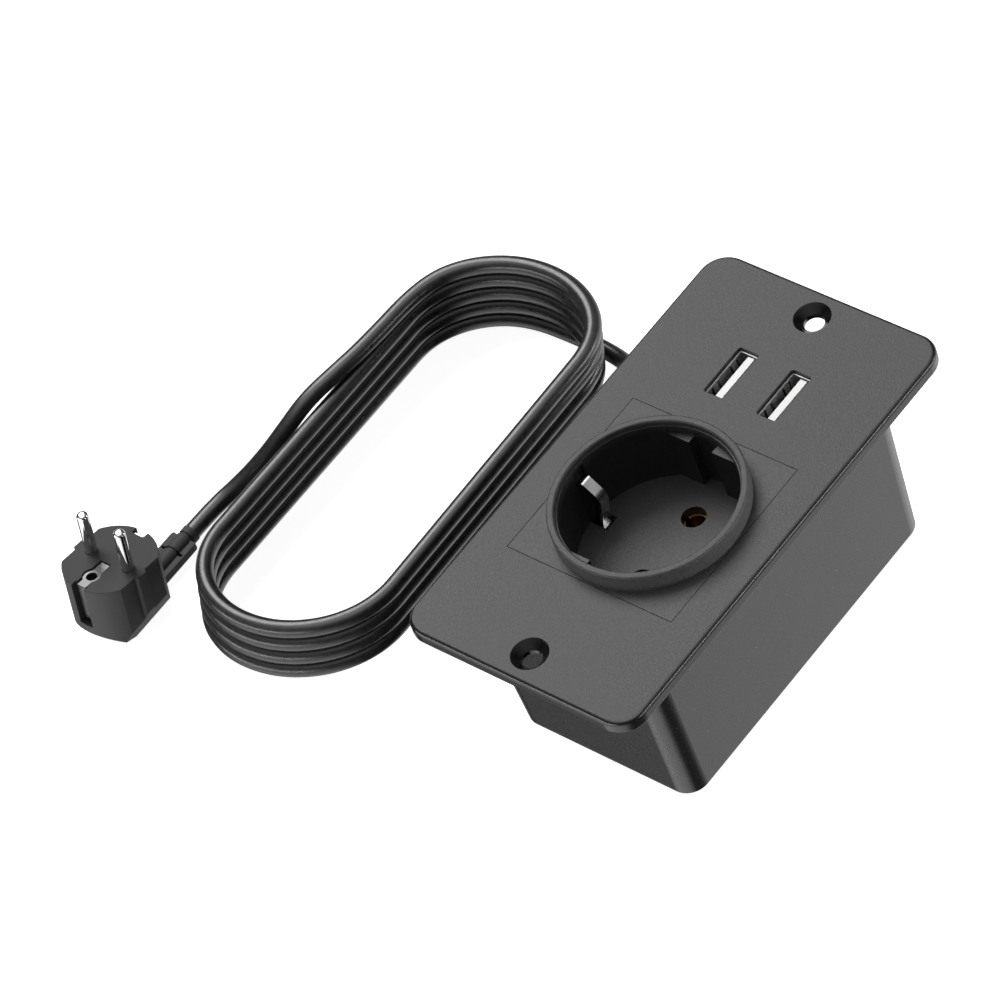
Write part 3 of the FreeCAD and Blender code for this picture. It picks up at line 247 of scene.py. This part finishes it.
# each end of a turn is half an ellipse: its middle, its half width across the coil, its
# reach along the coil, and how far it leans along the coil for each unit across
WEST = {"middle": Vector((-37.69, 85.61)), "half": 23.91, "reach": -20.43, "lean": -0.097}
EAST = {"middle": Vector((30.65, 85.34)), "half": 24.03, "reach": 19.33, "lean": -0.059}
WEST_CLIMB = 0.30                # share of a turn's climb made at its west end
SOUTH_CLIMB = 0.98               # share made by the end of its south run
ARC_STEP = math.radians(30)      # between control points round an end
RUN_POINT = 12.0                 # distance of a run's control points from its ends


def coil_point(level, end, across, along):
    """A control point at an end of the coil: across is in half widths from the end's
    middle, along is in reaches, and level counts turns from the floor."""
    place = end["middle"] + SHIFT * (level - SHIFT_FROM)
    aside = across * end["half"]
    x = place.x + along * end["reach"] + aside * end["lean"]
    return Vector((x, place.y + aside, CORD_DIAMETER / 2 + STACKED * max(level, 0)))


def coil_end(end, start, stop, first=0):
    """Control points round an end, from the first one on, while the level goes from start to stop."""
    heading = 1 if end is EAST else -1
    wide = 1 / math.cos(ARC_STEP / 2)
    points = []
    for i in range(first, round(math.pi / ARC_STEP)):
        angle = (i + 0.5) * ARC_STEP
        level = start + (stop - start) * angle / math.pi
        points.append(coil_point(level, end, -heading * wide * math.cos(angle), wide * math.sin(angle)))
    return points


def run_points(before, after):
    """Two control points on the straight line between two bends."""
    line = (after - before).normalized() * RUN_POINT
    return [before + line, after - line]


def cord_points():
    """Control points of the whole cord from the strain relief to the plug."""
    points = [Vector(point) for point in LEAD_ROUTE]
    points += coil_end(EAST, SOUTH_CLIMB - 1, 0.0, first=3)
    for turn in range(TURNS):
        west = coil_end(WEST, turn, turn + WEST_CLIMB)
        points += run_points(points[-1], west[0]) + west
        east = coil_end(EAST, turn + SOUTH_CLIMB, turn + 1)
        points += run_points(points[-1], east[0]) + east
    return points + [Vector(point) for point in TAIL_ROUTE]


def make_cord():
    """One smooth tube for the lead, its coil and its tail."""
    curve = bpy.data.curves.new("cord", "CURVE")
    curve.dimensions = "3D"
    curve.bevel_depth = CORD_DIAMETER / 2 * MM
    curve.bevel_resolution = 7
    curve.resolution_u = 12
    curve.use_fill_caps = True
    spline = curve.splines.new("NURBS")
    points = cord_points()
    spline.points.add(len(points) - 1)
    for item, point in zip(spline.points, points):
        item.co = (*(point * MM), 1.0)
    spline.order_u = 3
    spline.use_endpoint_u = True
    cord = bpy.data.objects.new("cord", curve)
    bpy.context.scene.collection.objects.link(cord)
    curve.materials.append(MATERIALS["cord"])
    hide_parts("cord_lead", "cord_hank", "cord_tail")
    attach(cord, "root")


# Stage

FLOOR_REACH = 6.0

# Brightness that what shines sees below the horizon, by compass angle in degrees from +X
SIDES_BELOW = [(-180, 1.5), (-152, 1.5), (-124, 0.0), (-68, 0.0), (-42, 1.75), (-10, 1.6), (20, 0.8),
               (84, 0.7), (98, 0.0), (122, 0.0), (138, 1.5), (180, 1.5)]

# Lights, in metres: places on the floor, sizes, and the heights of the strips, which stay
# below the plate, and of the panels
IN_FRONT = (0.55, -1.0)
NEAR_END = (-1.0, 0.35)
OVERHEAD_SIZE = (0.8, 0.8)
STRIP_SIZE = (0.9, 0.04)
STRIP_HEIGHT = 0.024
PANEL_SIZE = (1.4, 0.16)
PANEL_HEIGHT = 0.09

# The photograph's view, worked out from the plate's four sides; place and lens in millimetres
CAMERA_RIGHT = Vector((0.6007, -0.7561, -0.2597))
CAMERA_UP = Vector((0.7038, 0.3460, 0.6205))
CAMERA_PLACE = Vector((-536.5, -723.3, 1052.4))
CAMERA_LENS = 229.3
CAMERA_SENSOR = 36.0


def make_floor():
    """A white floor that bounces light and takes a faint shadow. The camera sees it white,
    and what shines sees through it to the brightness of the studio below the horizon."""
    mesh = bpy.data.meshes.new("floor")
    corners = [(x * FLOOR_REACH, y * FLOOR_REACH, 0.0) for x, y in ((-1, -1), (1, -1), (1, 1), (-1, 1))]
    mesh.from_pydata(corners, [], [(0, 1, 2, 3)])
    floor = bpy.data.objects.new("floor", mesh)
    bpy.context.scene.collection.objects.link(floor)
    material, tree = new_material("matt white paint")
    paint = add_node(tree, "ShaderNodeBsdfPrincipled",
                     Base_Color=linear("dcdcdc"), Roughness=0.9, Specular_IOR_Level=0.0).outputs["BSDF"]
    glow = add_node(tree, "ShaderNodeEmission", Strength=0.92).outputs["Emission"]
    white = add_node(tree, "ShaderNodeAddShader", [(0, paint), (1, glow)]).outputs["Shader"]
    clear = add_node(tree, "ShaderNodeBsdfTransparent").outputs["BSDF"]
    path = add_node(tree, "ShaderNodeLightPath").outputs
    to_camera = add_node(tree, "ShaderNodeMixShader", [
        ("Fac", path["Is Camera Ray"]), (1, paint), (2, white)])
    to_gloss = add_node(tree, "ShaderNodeMixShader", [
        ("Fac", path["Is Glossy Ray"]), (1, to_camera.outputs["Shader"]), (2, clear)])
    add_node(tree, "ShaderNodeOutputMaterial", [("Surface", to_gloss.outputs["Shader"])])
    mesh.materials.append(material)


def make_world():
    """A dim surround for plain light, and white to the camera. What shines sees it dark at
    the horizon, brighter overhead and brightest round the zenith, and below the horizon as
    SIDES_BELOW gives it."""
    world = bpy.data.worlds.new("studio")
    world.use_nodes = True
    tree = world.node_tree
    heading = add_node(tree, "ShaderNodeTexCoord").outputs["Generated"]
    direction = add_node(tree, "ShaderNodeSeparateXYZ", [("Vector", heading)]).outputs
    # Z is 0 at the horizon and 1 straight up
    zenith = add_node(tree, "ShaderNodeMapRange", [("Value", direction["Z"])],
                      From_Min=0.84, From_Max=0.95, To_Min=0.9, To_Max=3.0).outputs["Result"]
    above = add_node(tree, "ShaderNodeMapRange", [("Value", direction["Z"]), ("To Max", zenith)],
                     From_Min=0.4, From_Max=0.9, To_Min=0.02).outputs["Result"]
    angle = add_node(tree, "ShaderNodeMath", [(0, direction["Y"]), (1, direction["X"])],
                     operation="ARCTAN2").outputs["Value"]
    turned = add_node(tree, "ShaderNodeMapRange", [("Value", angle)],
                      From_Min=-math.pi, From_Max=math.pi).outputs["Result"]
    below = add_node(tree, "ShaderNodeValToRGB", [("Fac", turned)], stops=[
        ((degrees + 180) / 360, (bright, bright, bright, 1.0))
        for degrees, bright in SIDES_BELOW]).outputs["Color"]
    is_above = add_node(tree, "ShaderNodeMapRange", [("Value", direction["Z"])],
                        From_Min=-0.3, From_Max=0.0).outputs["Result"]
    studio = add_node(tree, "ShaderNodeMapRange", [
        ("Value", is_above), ("To Min", below), ("To Max", above)]).outputs["Result"]
    path = add_node(tree, "ShaderNodeLightPath").outputs
    to_light = add_node(tree, "ShaderNodeMapRange", [
        ("Value", path["Is Glossy Ray"]), ("To Max", studio)], To_Min=0.1).outputs["Result"]
    strength = add_node(tree, "ShaderNodeMapRange", [
        ("Value", path["Is Camera Ray"]), ("To Min", to_light)], To_Max=1.0).outputs["Result"]
    background = tree.nodes["Background"]
    background.inputs["Color"].default_value = (1, 1, 1, 1)
    tree.links.new(strength, background.inputs["Strength"])
    bpy.context.scene.world = world


def add_light(name, place, aim, size, watts, in_gloss=True):
    """A soft rectangular light of a width and a height that looks at a point; where
    in_gloss is false, it lights a surface but isn't mirrored in it."""
    light = bpy.data.lights.new(name, "AREA")
    light.shape = "RECTANGLE"
    light.size, light.size_y = size
    light.energy = watts
    item = bpy.data.objects.new(name, light)
    item.visible_glossy = in_gloss
    item.location = place
    item.rotation_euler = (Vector(aim) - Vector(place)).to_track_quat("-Z", "Y").to_euler()
    bpy.context.scene.collection.objects.link(item)


def make_lights():
    """A large soft light high behind, two strips on the floor for the sides under the
    plate, and two panels whose mirror image draws the plate's edges."""
    add_light("high behind", (0.34, 0.84, 1.05), (0.0, 0.03, 0.03), OVERHEAD_SIZE, 18.5)
    under_plate = (0.0, 0.0, STRIP_HEIGHT)
    plate_middle = (0.0, 0.0, 0.05)
    for where, place, watts in (("in front", IN_FRONT, 24), ("at the near end", NEAR_END, 9)):
        add_light(f"strip {where}", (*place, STRIP_HEIGHT), under_plate, STRIP_SIZE, watts, in_gloss=False)
    for where, place, watts in (("in front", IN_FRONT, 9), ("at the near end", NEAR_END, 7)):
        add_light(f"panel {where}", (*place, PANEL_HEIGHT), plate_middle, PANEL_SIZE, watts)


def make_camera():
    """The camera of the photograph."""
    camera = bpy.data.cameras.new("camera")
    camera.sensor_width = CAMERA_SENSOR
    camera.lens = CAMERA_LENS
    item = bpy.data.objects.new("camera", camera)
    back = CAMERA_RIGHT.cross(CAMERA_UP).normalized()
    up = back.cross(CAMERA_RIGHT).normalized()
    turned = Matrix((CAMERA_RIGHT.normalized(), up, back)).transposed().to_4x4()
    item.matrix_world = Matrix.Translation(CAMERA_PLACE * MM) @ turned
    bpy.context.scene.collection.objects.link(item)
    bpy.context.scene.camera = item


dress_nodes()
make_cord()
make_floor()
make_world()
make_lights()
make_camera()
bpy.context.scene.view_settings.view_transform = "Standard"
